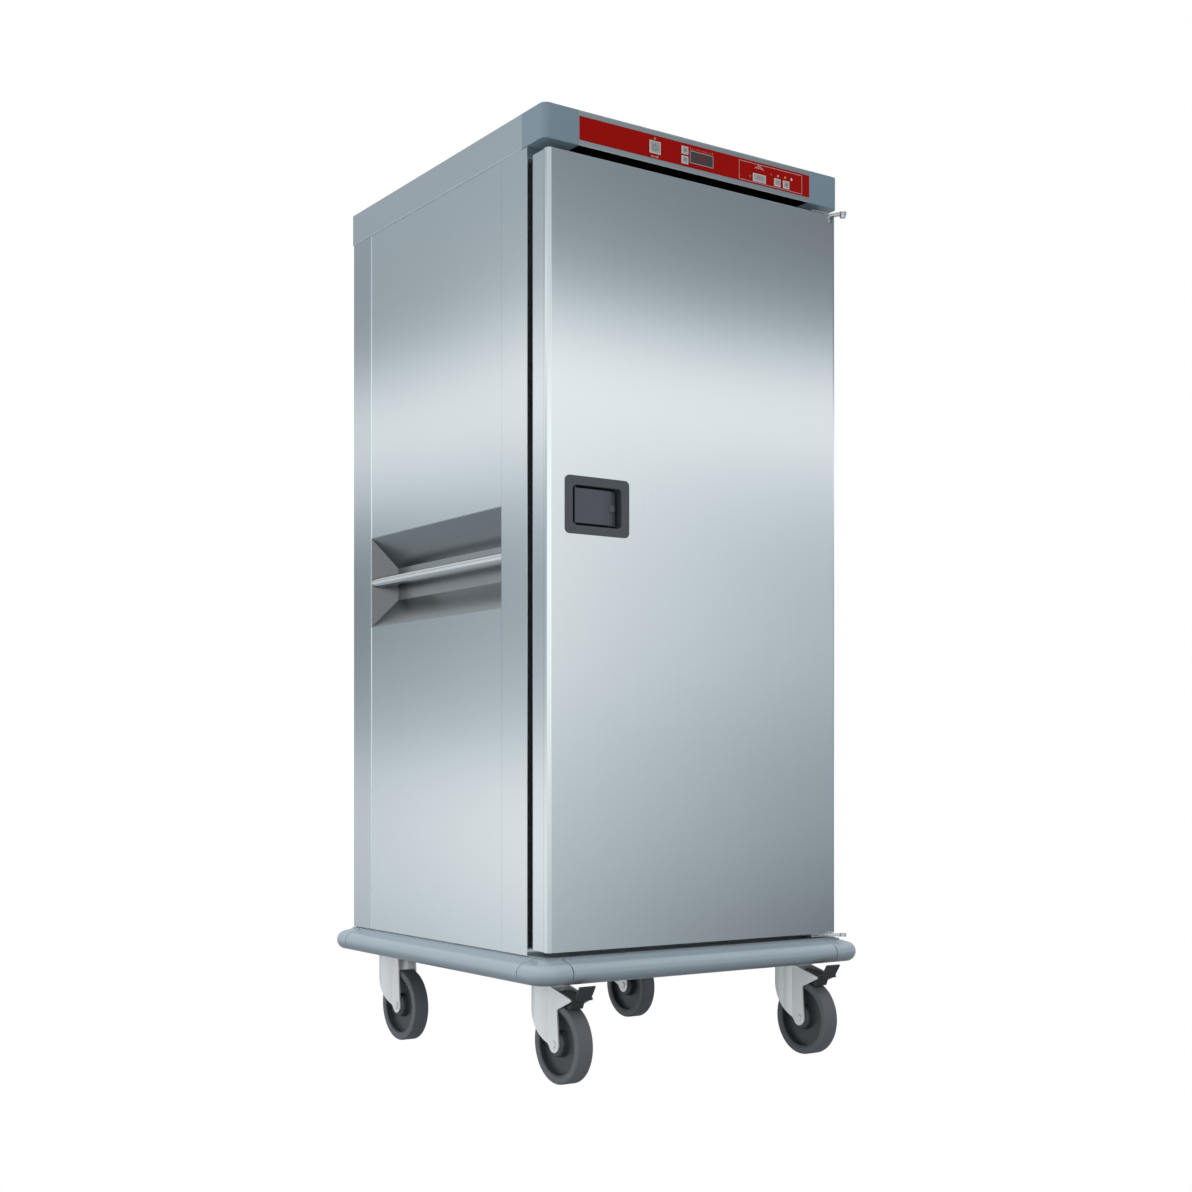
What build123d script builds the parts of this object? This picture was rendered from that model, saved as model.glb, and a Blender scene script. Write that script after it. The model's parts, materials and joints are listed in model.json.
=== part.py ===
from build123d import *
import os

# Heated banquet cart, in millimetres. X is right seen from the door side, Y is towards the back, Z is up.
# The origin is on the floor, under the middle of the cart's box.

# Driving sizes of the whole cart
body_width = 716.0
body_depth = 720.0
body_height = 1500.0
cap_height = 65.0
base_height = 45.0
caster_height = 193.0
sheet = 1.5
liner_sheet = 1.0
wall_depth = 58.0
back_depth = 51.0

# Casters
wheel_radius = 75.0
tread_width = 34.0
tread_shoulder = 3.5
tyre_depth = 14.0
axle_radius = 5.0
shaft_clearance = 0.1
track_inset = 59.0
front_swivel_inset = 14.0
rear_swivel_inset = 82.0
trail = 47.0
fork_plate = 3.0
fork_side_gap = 2.0
fork_nose = 57.5
fork_nose_rise = 85.0
fork_nose_tip = 3.5
fork_front_set = 10.5
fork_front_rise = 65.0
fork_front_top = 7.0
fork_crown_back = 12.0
fork_end_radius = 16.0
fork_skirt_radius = 34.5
fork_skirt_reach = 5.0
fork_skirt_curve_rise = 36.0
fork_skirt_curve_back = 50.0
fork_heel_back = 13.0
fork_heel_drop = 8.0
hub_web = 8.0
hub_rim = 3.0
hub_boss_radius = 24.0
hub_boss_gap = 0.5
axle_head_thickness = 2.5
axle_nut_radius = 7.5
raceway_radius = 28.0
raceway_gap = 0.3
top_plate_width = 85.0
top_plate_depth = 105.0
top_plate_thickness = 3.0
kingpin_radius = 6.0
plate_bolt_radius = 4.0
plate_bolt_clearance = 0.25
plate_bolt_margin = 10.0
plate_bolt_head_radius = 6.4
plate_bolt_head_thickness = 4.0

# Brake pedal, placed from the wheel's axle
pedal_pivot_forward = 28.0
pedal_pivot_rise = 85.0
pedal_pivot_radius = 3.0
pedal_side_gap = 0.5
pedal_tail_back = 8.0
pedal_tail_top_rise = 97.0
pedal_tail_rise = 84.0
pedal_belly_forward = 10.0
pedal_belly_rise = 79.5
pedal_toe_forward = 27.0
pedal_toe_rise = 73.5
pedal_top_rise = 90.5
pedal_tip_forward = 82.0
flap_half_width = 17.25
flap_root_forward = 65.0
flap_tip_rise = 114.0
flap_thickness = 3.5
lip_half_width = 23.0
lip_forward = 59.5
lip_depth = 3.5
lip_bottom_rise = 85.5
shoe_half_width = 14.0
shoe_root_forward = 50.0
shoe_root_rise = 82.0
shoe_forward = 44.0
shoe_rise = 68.5
shoe_back_forward = 35.0
shoe_back_rise = 71.0

# Bumper profile, measured out from the side of the body and down from the top of the base
bumper_reach = 39.0
bumper_lip = 5.0
bumper_lip_drop = 2.0
bumper_step = 2.5
bumper_shoulder_reach = 22.0
bumper_shoulder_drop = 9.5
bumper_nose_drop = 30.0
bumper_under_reach = 27.0
bumper_wall = 3.0
bumper_corner_radius = 45.0
bumper_cap_length = 75.0
bumper_joint = 2.0
base_inset = 3.0
base_wall = 3.0
beam_width = 120.0

# Door
door_inset = 5.5
door_gap_bottom = 9.5
door_gap_top = 17.0
door_front = 62.5
door_skin_depth = 13.7
door_edge_radius = 8.5
door_step = 1.0
gasket_depth = 9.6
gasket_width = 20.0
gasket_margin = 8.5
gasket_gap = 0.3
opening_margin_bottom = 30.0
opening_margin_top = 38.0

# Hinge pins, one above and one below the door
hinge_forward = 80.0
hinge_inset = 3.0
hinge_pin_radius = 4.0
hinge_head_radius = 6.0
hinge_eye_radius = 7.5
hinge_plate = 2.0
hinge_gap = 1.5
hinge_washer_gap = 0.3
hinge_foot_width = 55.0
hinge_foot_depth = 12.0
hinge_packer_depth = 9.0
hinge_barrel = 5.5
hinge_head = 1.0

# Latch in the door
latch_inset = 37.5
latch_width = 144.0
latch_height = 107.5
latch_rise = 780.5
latch_plate = 1.5
latch_corner = 10.0
well_inset = 53.5
well_width = 110.0
well_height = 74.5
well_bottom_rise = 16.0
well_depth = 30.0
well_wall = 2.5
well_corner = 9.0
paddle_thickness = 3.0
paddle_recess = 1.5
paddle_flat = 60.0
paddle_dip = 9.0
paddle_hinge_gap = 7.0
paddle_end_gap = 6.0
paddle_gap = 5.0
paddle_pivot_radius = 2.5
button_radius = 8.0
button_length = 21.0
button_travel = 3.0
button_from_well = 90.5
button_clearance = 0.1
bolt_height = 30.0
bolt_depth = 10.0
bolt_length = 60.0
bolt_short_of_liner = 3.0
bolt_slide_gap = 0.1
bolt_travel = 9.0
bolt_behind_front = 6.0
case_wall = 6.0
neck_width = 40.0
neck_height = 22.0
keeper_depth = 14.0
keeper_wall = 2.0

# Side panels, handle pockets and bars
front_post_width = 92.0
rear_post_width = 84.0
post_return = 20.0
rear_post_flange = 60.0
panel_inset = 0.8
pocket_rise = 652.0
pocket_height = 193.5
pocket_depth = 50.0
pocket_back_rise = 58.0
pocket_back_height = 72.0
pocket_end_run = 28.0
bar_radius = 11.0
bar_wall = 2.0

# Cap, fascia and controls
cap_overhang = 60.0
cap_lip = 1.5
corner_run = 76.0
corner_wrap = 16.0
corner_radius = 12.5
corner_wall = 3.0
label_gap = 1.0
label_height = 44.0
label_rise = 10.5
label_thickness = 0.8
key_travel = 1.2
key_proud = 1.6
key_gap = 0.2
key_depth = 3.2
display_depth = 9.0
display_proud = 0.4
lamp_radius = 2.2
lamp_proud = 0.5
lamp_depth = 3.0
board_back = 10.0
board_thickness = 1.6
board_margin = 6.0
standoff_radius = 3.0
switch_radius = 3.0

# Interior
runner_count = 17
runner_first_rise = 62.0
runner_last_drop = 108.5
runner_width = 25.0
runner_thickness = 3.0
upright_depth = 12.0
upright_width = 20.0
rack_latch_gap = 4.0
rack_back_gap = 20.0
tray_width = 360.0
tray_depth = 260.0
tray_height = 32.0
tray_wall = 1.5
plenum_height = 60.0
baffle_side_gap = 25.0
baffle_hole_radius = 60.0
baffle_post_radius = 5.0
impeller_radius = 90.0
impeller_height = 38.0
impeller_blade = 28.0
impeller_blade_thickness = 2.0
impeller_blades = 12
impeller_hub_radius = 14.0
impeller_drop = 6.0
fan_shaft_radius = 4.0
motor_radius = 48.0
motor_height = 46.0
shaft_hole_radius = 15.0
coil_radius = 112.0
coil_tube_radius = 4.0
coil_turns = 2
coil_pitch = 16.0
coil_hangers = 3
hanger_half_width = 6.0

# Controls on the label. Places are shares of its half width from the middle and of its height from below,
# and sizes are shares of the same two lengths.
key_shares = {"key_power": (-0.387, 0.470), "key_up": (-0.133, 0.682), "key_down": (-0.133, 0.259),
              "key_steam": (0.530, 0.284), "key_less": (0.696, 0.292), "key_more": (0.779, 0.292)}
key_size_shares = {"key_power": (0.092, 0.545), "key_up": (0.056, 0.343), "key_down": (0.056, 0.343),
                   "key_steam": (0.116, 0.362), "key_less": (0.0575, 0.352), "key_more": (0.0575, 0.352)}
display_share = (0.013, 0.467)
display_size_share = (0.201, 0.520)
board_shares = (-0.5338, 0.96085)
lamp_shares = ((-0.387, 0.855), (0.446, 0.280), (0.641, 0.602), (0.704, 0.606), (0.770, 0.615))

# Power inlet in the rear skirt of the cap
inlet_inset = 108.0
inlet_width = 50.0
inlet_height = 30.0
inlet_flange = 4.0
inlet_mouth_width = 28.0
inlet_mouth_height = 20.0
inlet_mouth_depth = 16.0
inlet_wall = 3.0
inlet_pin = 4.0
inlet_pin_thickness = 2.0
inlet_pin_spacing = 7.0

# One overrun serves every cut
overrun = 5.0

# Places worked out from the driving sizes, first measured back from the body's front edge
front_axle_back = front_swivel_inset - trail
rear_axle_back = body_depth - rear_swivel_inset - trail
front_extent = min(front_axle_back - pedal_tip_forward, front_axle_back - wheel_radius,
                   -door_front - bumper_reach)
rear_extent = body_depth + bumper_reach
front_y = -(front_extent + rear_extent) / 2
back_y = front_y + body_depth
side_x = body_width / 2
panel_x = side_x - panel_inset
half_track = side_x - track_inset
base_bottom = caster_height
base_top = base_bottom + base_height
body_top = base_top + body_height
cap_top = body_top + cap_height
door_face_y = front_y - door_front
cap_front_y = front_y - cap_overhang
opening_x = side_x - wall_depth
hinge_x = side_x - hinge_inset
corner_inner = side_x - corner_run
label_half_width = corner_inner - label_gap
inlet_x = side_x - inlet_inset
opening_bottom = base_top + opening_margin_bottom
opening_top = body_top - opening_margin_top
cavity_back_y = back_y - back_depth
fan_y = (front_y + cavity_back_y) / 2
rack_front_y = front_y + bolt_behind_front + bolt_depth + case_wall + rack_latch_gap
pocket_bottom = base_top + pocket_rise
latch_bottom = base_top + latch_rise
door_x = side_x - door_inset
door_bottom = base_top + door_gap_bottom
door_top = body_top - door_gap_top
door_back_y = front_y - gasket_depth
door_seam_y = door_face_y + door_skin_depth
latch_x0 = latch_inset - door_x
well_x0 = well_inset - door_x
well_x1 = well_x0 + well_width
well_z0 = latch_bottom + well_bottom_rise
well_z1 = well_z0 + well_height


def block(x0, x1, y0, y1, z0, z1):
    return Pos((x0 + x1) / 2, (y0 + y1) / 2, (z0 + z1) / 2) * Box(x1 - x0, y1 - y0, z1 - z0)


def rod_x(x0, x1, y, z, radius):
    return Pos((x0 + x1) / 2, y, z) * Rot(0, 90, 0) * Cylinder(radius, x1 - x0)


def rod_y(x, y0, y1, z, radius):
    return Pos(x, (y0 + y1) / 2, z) * Rot(90, 0, 0) * Cylinder(radius, y1 - y0)


def rod_z(x, y, z0, z1, radius):
    return Pos(x, y, (z0 + z1) / 2) * Cylinder(radius, z1 - z0)


def prism_x(wire, x0, x1):
    plane = Plane(origin=(x0, 0, 0), x_dir=(0, 1, 0), z_dir=(1, 0, 0))
    return extrude(plane * make_face(wire), amount=x1 - x0)


def prism_z(wire, z0, z1):
    return extrude(Plane.XY.offset(z0) * make_face(wire), amount=z1 - z0)


def outline(points):
    return Polyline(*points, close=True)


def rounded_block_y(x0, x1, y0, y1, z0, z1, radius):
    solid = block(x0, x1, y0, y1, z0, z1)
    return fillet(solid.edges().filter_by(Axis.Y), radius)


def flip_x(shape):
    return mirror(shape, about=Plane.YZ)


def save(node, *solids):
    pieces = []
    for shape in solids:
        pieces += list(shape.solids())
    shape = pieces[0] if len(pieces) == 1 else Compound(pieces)
    export_step(shape, os.path.join("parts", node + ".step"))


# Base frame and bumper

def base_frame():
    x = side_x - base_inset
    y0 = door_face_y + base_inset
    y1 = back_y - base_inset
    outer = block(-x, x, y0, y1, base_bottom, base_top)
    outer = fillet(outer.edges().filter_by(Axis.Z), base_inset)
    inner = block(-x + base_wall, x - base_wall, y0 + base_wall, y1 - base_wall,
                  base_bottom - overrun, base_top - base_wall)
    frame = outer - inner
    for swivel_y in (swivel_place("front"), swivel_place("rear")):
        beam_front = max(swivel_y - beam_width / 2, y0)
        beam_back = min(swivel_y + beam_width / 2, y1)
        beam = block(-x, x, beam_front, beam_back, base_bottom, base_top)
        hollow = block(-x + base_wall, x - base_wall, beam_front + base_wall, beam_back - base_wall,
                       base_bottom + base_wall, base_top - base_wall)
        frame = frame + (beam & outer) - hollow
    for x_side, y_swivel in caster_places():
        for bolt_x, bolt_y in plate_bolt_places(x_side, y_swivel):
            frame = frame - rod_z(bolt_x, bolt_y, base_bottom - overrun, base_bottom + base_wall + overrun,
                                  plate_bolt_radius + plate_bolt_clearance)
    return frame


def bumper_wire(start):
    """The bumper's section as (out from the body's side, height), with its inner face at start."""
    top = base_top - bumper_lip_drop
    bottom = base_bottom - bumper_lip_drop
    step_z = top - bumper_step
    shoulder = (bumper_shoulder_reach, base_top - bumper_shoulder_drop)
    nose = (bumper_reach, base_top - bumper_nose_drop)
    under = (bumper_under_reach, bottom)
    run = Polyline(under, (start, bottom), (start, top), (bumper_lip, top), (bumper_lip, step_z), shoulder)
    return run + ThreePointArc(shoulder, nose, under)


def bumper_section():
    return make_face(bumper_wire(-base_inset))


def bumper_hollow():
    return offset(make_face(bumper_wire(-base_inset)), amount=-bumper_wall)


def bumper_rail(face, length):
    """A rail along +X whose section's outward side faces -Y, starting at X = 0."""
    plane = Plane(origin=(0, 0, 0), x_dir=(0, -1, 0), z_dir=(-1, 0, 0))
    return Pos(length, 0, 0) * extrude(plane * face, amount=length)


def bumper_rails():
    across = body_width + 2 * bumper_reach - 2 * bumper_cap_length - 2 * bumper_joint
    along = rear_extent + door_front + bumper_reach - 2 * bumper_cap_length - 2 * bumper_joint
    rails = []
    for length, turn, place in ((across, 0, (-across / 2, door_face_y)), (across, 180, (across / 2, back_y)),
                                (along, 90, (side_x, bumper_middle_y() - along / 2)),
                                (along, -90, (-side_x, bumper_middle_y() + along / 2))):
        rail = bumper_rail(bumper_section(), length) - bumper_rail(bumper_hollow(), length)
        rails.append(Pos(place[0], place[1], 0) * Rot(0, 0, turn) * rail)
    return rails


def bumper_middle_y():
    return (door_face_y + back_y) / 2


def bumper_corner():
    """The corner at the front right: two straight legs and a quarter turn."""
    centre_inset = bumper_corner_radius - bumper_reach
    leg = bumper_cap_length - bumper_corner_radius
    turn_plane = Plane(origin=(0, 0, 0), x_dir=(1, 0, 0), z_dir=(0, -1, 0))
    section = turn_plane * Pos(centre_inset, 0, 0) * bumper_section()
    quarter = Rot(0, 0, -90) * revolve(section, axis=Axis.Z, revolution_arc=90)
    front_leg = Pos(-leg, -centre_inset, 0) * bumper_rail(bumper_section(), leg)
    side_leg = Pos(centre_inset, 0, 0) * Rot(0, 0, 90) * bumper_rail(bumper_section(), leg)
    corner = quarter + front_leg + side_leg
    return Pos(side_x - centre_inset, door_face_y + centre_inset, 0) * corner


def bumper_corners():
    right_front = bumper_corner()
    right_rear = Pos(0, 2 * bumper_middle_y(), 0) * mirror(right_front, about=Plane.XZ)
    return [right_front, right_rear, flip_x(right_front), flip_x(right_rear)]


# Casters

def swivel_place(end):
    return front_y + front_swivel_inset if end == "front" else back_y - rear_swivel_inset


def caster_places():
    return [(side * half_track, swivel_place(end)) for end in ("front", "rear") for side in (-1, 1)]


def plate_bolt_places(x, y):
    dx = top_plate_width / 2 - plate_bolt_margin
    dy = top_plate_depth / 2 - plate_bolt_margin
    return [(x + sx * dx, y + sy * dy) for sx in (-1, 1) for sy in (-1, 1)]


def fork_top():
    """Height of the fork's upper face, under the ball race."""
    race = 2 * fork_plate
    return caster_height - top_plate_thickness - 2 * race - raceway_gap + fork_plate


def caster_plate(x, y):
    top = caster_height
    under = top - top_plate_thickness
    race_bottom = fork_top() + fork_plate + raceway_gap
    plate = block(x - top_plate_width / 2, x + top_plate_width / 2, y - top_plate_depth / 2,
                  y + top_plate_depth / 2, under, top)
    plate = fillet(plate.edges().filter_by(Axis.Z), plate_bolt_margin)
    for bolt_x, bolt_y in plate_bolt_places(x, y):
        plate = plate - rod_z(bolt_x, bolt_y, under - overrun, top + overrun,
                              plate_bolt_radius + plate_bolt_clearance)
    race = rod_z(x, y, race_bottom, under, raceway_radius)
    pin_bottom = fork_top() - fork_plate - raceway_gap
    pin = rod_z(x, y, pin_bottom, race_bottom, kingpin_radius)
    head = rod_z(x, y, pin_bottom - fork_plate, pin_bottom, 2 * kingpin_radius)
    return plate + race + pin + head


def caster_bolt(x, y):
    head_top = caster_height - top_plate_thickness
    head_bottom = head_top - plate_bolt_head_thickness
    head = Pos(x, y, head_bottom) * extrude(RegularPolygon(plate_bolt_head_radius, 6),
                                            amount=plate_bolt_head_thickness)
    shank = rod_z(x, y, head_top, base_bottom + base_wall + plate_bolt_radius, plate_bolt_radius)
    return head + shank


def fork_inner_half():
    return tread_width / 2 + fork_side_gap


def fork_plan(grow):
    """The fork seen from above, with the wheel's axle at the origin: a nose and a round skirt."""
    half = fork_inner_half() + grow
    radius = fork_skirt_radius - fork_plate + grow
    nose = block(-half, half, -fork_nose, trail, 0, caster_height)
    return nose + rod_z(0, trail, 0, caster_height, radius)


def fork_side_slab(braked):
    """The fork seen from the side: a braked one has a nose that carries the pedal."""
    z0 = wheel_radius
    half = fork_skirt_radius + overrun
    top = fork_top()
    skirt = (trail + fork_skirt_radius + fork_skirt_reach, top)
    heel = (fork_heel_back, z0 - fork_heel_drop)
    front = (-fork_front_set, z0 + fork_front_rise)
    if braked:
        nose_z = z0 + fork_nose_rise
        head = [(-fork_nose, nose_z), (-fork_nose, nose_z + fork_nose_tip), (fork_crown_back, top)]
    else:
        head = [(-fork_front_top, top)]
    wire = Polyline(heel, (-fork_end_radius, z0), front, *head, skirt) + ThreePointArc(
        skirt, (fork_skirt_curve_back, z0 + fork_skirt_curve_rise), heel)
    return prism_x(wire, -half, half) + rod_x(-half, half, 0, z0, fork_end_radius)


def fork(braked):
    """A swivel fork with its axle bolt, with the wheel's axle over the origin."""
    top = fork_top()
    inner = fork_plan(0) & block(-fork_skirt_radius, fork_skirt_radius, -fork_nose - overrun,
                                 trail + fork_skirt_radius, -overrun, top - fork_plate)
    inner = inner + block(-fork_inner_half(), fork_inner_half(), -fork_nose - overrun, 0, -overrun,
                          top - fork_plate)
    inner = inner + block(-fork_inner_half(), fork_inner_half(), -fork_nose - overrun, fork_crown_back, 0,
                          top + overrun)
    shell = (fork_plan(fork_plate) & fork_side_slab(braked)) - inner
    race = rod_z(0, trail, top, top + fork_plate, raceway_radius)
    shell = shell + race - rod_z(0, trail, top - fork_plate - overrun, top + fork_plate + overrun,
                                 kingpin_radius + shaft_clearance)
    outer = fork_inner_half() + fork_plate
    shell = shell - rod_x(-outer - overrun, outer + overrun, 0, wheel_radius, axle_radius)
    if braked:
        shell = shell + rod_x(-outer, outer, -pedal_pivot_forward, pedal_pivot_height(), pedal_pivot_radius)
    end = outer + axle_head_thickness
    axle = rod_x(-end, end, 0, wheel_radius, axle_radius)
    nut = Rot(0, 90, 0) * extrude(RegularPolygon(axle_nut_radius, 6), amount=axle_head_thickness)
    axle = axle + Pos(outer, 0, wheel_radius) * nut + Pos(-end, 0, wheel_radius) * nut
    return [shell, axle]


def tyre():
    half = tread_width / 2
    seat = wheel_radius - tyre_depth
    bead = tread_shoulder / 2
    section = make_face(outline([
        (-half + bead, seat), (half - bead, seat), (half, seat + bead), (half, wheel_radius),
        (-half, wheel_radius), (-half, seat + bead)]))
    section = fillet(section.vertices().group_by(Axis.Y)[-1], tread_shoulder)
    ring = revolve(section, axis=Axis.X)
    return Pos(0, 0, wheel_radius) * ring


def wheel_hub():
    rim_outer = wheel_radius - tyre_depth
    rim_half = tread_width / 2 - tread_shoulder / 2
    boss_half = fork_inner_half() - hub_boss_gap
    bore = axle_radius + shaft_clearance
    rim_inner = rim_outer - hub_rim
    boss_end = hub_boss_radius - hub_rim
    boss_root = hub_boss_radius + hub_rim / 2
    web = hub_web / 2
    section = make_face(outline([
        (-boss_half, bore), (boss_half, bore), (boss_half, boss_end), (rim_half, hub_boss_radius),
        (web, boss_root), (web, rim_inner), (rim_half, rim_inner), (rim_half, rim_outer),
        (-rim_half, rim_outer), (-rim_half, rim_inner), (-web, rim_inner), (-web, boss_root),
        (-rim_half, hub_boss_radius), (-boss_half, boss_end)]))
    return Pos(0, 0, wheel_radius) * revolve(section, axis=Axis.X)


def pedal_pivot_height():
    return wheel_radius + pedal_pivot_rise


def brake_pedal():
    """The brake pedal of one front caster, with the wheel's axle over the origin."""
    half = fork_inner_half() - pedal_side_gap
    pedal_top = wheel_radius + pedal_top_rise
    toe = (-pedal_toe_forward, wheel_radius + pedal_toe_rise)
    lip_bottom = wheel_radius + lip_bottom_rise
    body = prism_x(outline([(pedal_tail_back, wheel_radius + pedal_tail_rise),
                            (pedal_tail_back, wheel_radius + pedal_tail_top_rise), (-lip_forward, pedal_top),
                            (-lip_forward, lip_bottom), toe,
                            (-pedal_belly_forward, wheel_radius + pedal_belly_rise)]), -half, half)
    shoe = prism_x(outline([toe, (-shoe_back_forward, wheel_radius + shoe_back_rise),
                            (-shoe_forward, wheel_radius + shoe_rise),
                            (-shoe_root_forward, wheel_radius + shoe_root_rise),
                            (-pedal_pivot_forward, pedal_pivot_height())]), -shoe_half_width, shoe_half_width)
    lip = block(-lip_half_width, lip_half_width, -lip_forward - lip_depth, -lip_forward, lip_bottom,
                pedal_top)
    flap_tip = wheel_radius + flap_tip_rise
    flap = prism_x(outline([(-lip_forward, pedal_top - flap_thickness), (-lip_forward, pedal_top),
                            (-flap_root_forward, pedal_top + flap_thickness / 2),
                            (-pedal_tip_forward + flap_thickness, flap_tip),
                            (-pedal_tip_forward, flap_tip - flap_thickness / 2),
                            (-flap_root_forward, pedal_top - flap_thickness)]),
                   -flap_half_width, flap_half_width)
    bore = rod_x(-half - overrun, half + overrun, -pedal_pivot_forward, pedal_pivot_height(),
                 pedal_pivot_radius + shaft_clearance)
    return body + shoe + lip + flap - bore


# Outer body

def corner_posts():
    x = side_x - sheet
    y_front = front_y + front_post_width
    y_rear = back_y - rear_post_width
    front = block(x, side_x, front_y + sheet, y_front, base_top, body_top)
    front = front + block(side_x - post_return, x, y_front - sheet, y_front, base_top, body_top)
    rear = block(x, side_x, y_rear, back_y, base_top, body_top)
    rear = rear + block(side_x - post_return, x, y_rear, y_rear + sheet, base_top, body_top)
    rear = rear + block(side_x - rear_post_flange, x, back_y - sheet, back_y, base_top, body_top)
    return [front, rear, flip_x(front), flip_x(rear)]


def side_panels():
    y0 = front_y + front_post_width
    y1 = back_y - rear_post_width
    pocket_top = pocket_bottom + pocket_height
    lower = block(panel_x - sheet, panel_x, y0, y1, base_top, pocket_bottom)
    upper = block(panel_x - sheet, panel_x, y0, y1, pocket_top, body_top)
    return [lower, upper, flip_x(lower), flip_x(upper)]


def pocket_form(grow, reach):
    """The solid that fills the right pocket: reach is how far it runs outside the body's side."""
    y0 = front_y + front_post_width
    y1 = back_y - rear_post_width
    z0 = pocket_bottom
    z1 = pocket_bottom + pocket_height
    back_z0 = z0 + pocket_back_rise
    back_z1 = back_z0 + pocket_back_height
    mouth_plane = Plane(origin=(panel_x, 0, 0), x_dir=(0, 1, 0), z_dir=(1, 0, 0))
    back_plane = Plane(origin=(side_x - pocket_depth - grow, 0, 0), x_dir=(0, 1, 0), z_dir=(1, 0, 0))
    inset = 2 * (sheet - grow)
    middle_y = (y0 + y1) / 2
    mouth = Pos(middle_y, (z0 + z1) / 2, 0) * Rectangle(y1 - y0 - inset, z1 - z0 - inset)
    mouth = mouth_plane * mouth
    back = Pos(middle_y, (back_z0 + back_z1) / 2, 0) * Rectangle(
        y1 - y0 - 2 * pocket_end_run - inset, back_z1 - back_z0 - inset)
    back = back_plane * back
    form = loft([back, mouth], ruled=True)
    if reach > 0:
        form = form + extrude(mouth, amount=reach)
    return form


def handle_pocket():
    return pocket_form(sheet, 0) - pocket_form(0, overrun)


def handle_bar():
    x = panel_x - bar_radius
    z = pocket_bottom + pocket_height / 2
    bar = rod_y(x, front_y, back_y, z, bar_radius) - rod_y(x, front_y, back_y, z, bar_radius - bar_wall)
    return bar & pocket_form(0, overrun)


def rear_panel():
    x = side_x - rear_post_flange
    return block(-x, x, back_y - sheet, back_y, base_top, body_top)


def front_frame():
    ring = block(-side_x, side_x, front_y, front_y + sheet, base_top, body_top)
    hole = block(-opening_x, opening_x, front_y - overrun, front_y + overrun, opening_bottom, opening_top)
    return ring - hole


# Inner liner, insulation and service deck

def shaft_hole(z0, z1):
    return rod_z(0, fan_y, z0, z1, shaft_hole_radius)


def bolt_z0():
    return latch_bottom + well_bottom_rise + (well_height - bolt_height) / 2


def keeper_block(grow):
    z0 = bolt_z0() - case_wall
    z1 = bolt_z0() + bolt_height + case_wall
    return block(-opening_x - keeper_depth - keeper_wall, -opening_x + grow, front_y + sheet,
                 front_y + bolt_behind_front + bolt_depth + case_wall + keeper_wall, z0, z1)


def inner_liner():
    y0 = front_y + sheet
    y1 = cavity_back_y
    right = block(opening_x, opening_x + liner_sheet, y0, y1, opening_bottom, opening_top)
    left = flip_x(right) - keeper_block(liner_sheet)
    x = opening_x + liner_sheet
    back = block(-x, x, y1, y1 + liner_sheet, opening_bottom, opening_top)
    floor = block(-x, x, y0, y1 + liner_sheet, opening_bottom - liner_sheet, opening_bottom)
    ceiling = block(-x, x, y0, y1 + liner_sheet, opening_top, opening_top + liner_sheet)
    ceiling = ceiling - shaft_hole(opening_top - overrun, opening_top + overrun)
    return [left, right, back, floor, ceiling]


def insulation():
    y0 = front_y + sheet
    y1 = back_y - sheet
    inner = opening_x + liner_sheet
    outer = panel_x - sheet
    z0 = opening_bottom - liner_sheet
    z1 = opening_top + liner_sheet
    strip = side_x - post_return
    side = block(inner, outer, front_y + front_post_width, back_y - rear_post_width, z0, z1)
    front_strip = block(inner, strip, y0, front_y + front_post_width, z0, z1)
    rear_strip = block(inner, strip, back_y - rear_post_width, y1, z0, z1)
    right = side + front_strip + rear_strip - pocket_form(sheet, overrun)
    left = flip_x(right) - keeper_block(0)
    back = block(-inner, inner, cavity_back_y + liner_sheet, y1, z0, z1)
    bottom = block(-outer + post_return, outer - post_return, y0, y1, base_top, z0)
    top = block(-outer + post_return, outer - post_return, y0, y1, z1, body_top)
    top = top - shaft_hole(opening_top, body_top + overrun)
    return [left, right, back, bottom, top]


def service_deck():
    return block(-side_x, side_x, front_y, back_y, body_top, body_top + sheet) - shaft_hole(
        body_top - overrun, body_top + overrun)


# Interior fittings

def rack_top():
    return opening_top - plenum_height - sheet


def runner_bottoms():
    first = opening_bottom + runner_first_rise
    pitch = (rack_top() - runner_last_drop - first) / (runner_count - 1)
    return [first + level * pitch for level in range(runner_count)]


def runner_racks():
    y0 = rack_front_y
    y1 = cavity_back_y - rack_back_gap
    upright_x0 = opening_x - upright_depth
    pieces = []
    places = [y0, (y0 + y1 - upright_width) / 2, y1 - upright_width]
    for y in places:
        pieces.append(block(upright_x0, opening_x, y, y + upright_width, opening_bottom, rack_top()))
    for z in runner_bottoms():
        pieces.append(block(upright_x0 - runner_width, upright_x0, y0, y1, z, z + runner_thickness))
    return pieces + [flip_x(piece) for piece in pieces]


def water_tray():
    x = tray_width / 2
    y0 = fan_y - tray_depth / 2
    y1 = fan_y + tray_depth / 2
    outer = block(-x, x, y0, y1, opening_bottom, opening_bottom + tray_height)
    inner = block(-x + tray_wall, x - tray_wall, y0 + tray_wall, y1 - tray_wall, opening_bottom + tray_wall,
                  opening_bottom + tray_height + overrun)
    return outer - inner


def air_baffle():
    x = opening_x - baffle_side_gap
    z0 = opening_top - plenum_height
    y0 = rack_front_y
    y1 = cavity_back_y
    plate = block(-x, x, y0, y1, z0 - sheet, z0)
    plate = plate - rod_z(0, fan_y, z0 - overrun, z0 + overrun, baffle_hole_radius)
    for sx in (-1, 1):
        for y in (y0 + baffle_side_gap, y1 - baffle_side_gap):
            plate = plate + rod_z(sx * (x - baffle_side_gap), y, z0 - sheet, opening_top, baffle_post_radius)
    return plate


def impeller_top():
    return opening_top - impeller_drop


def motor_floor():
    return body_top + sheet


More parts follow.
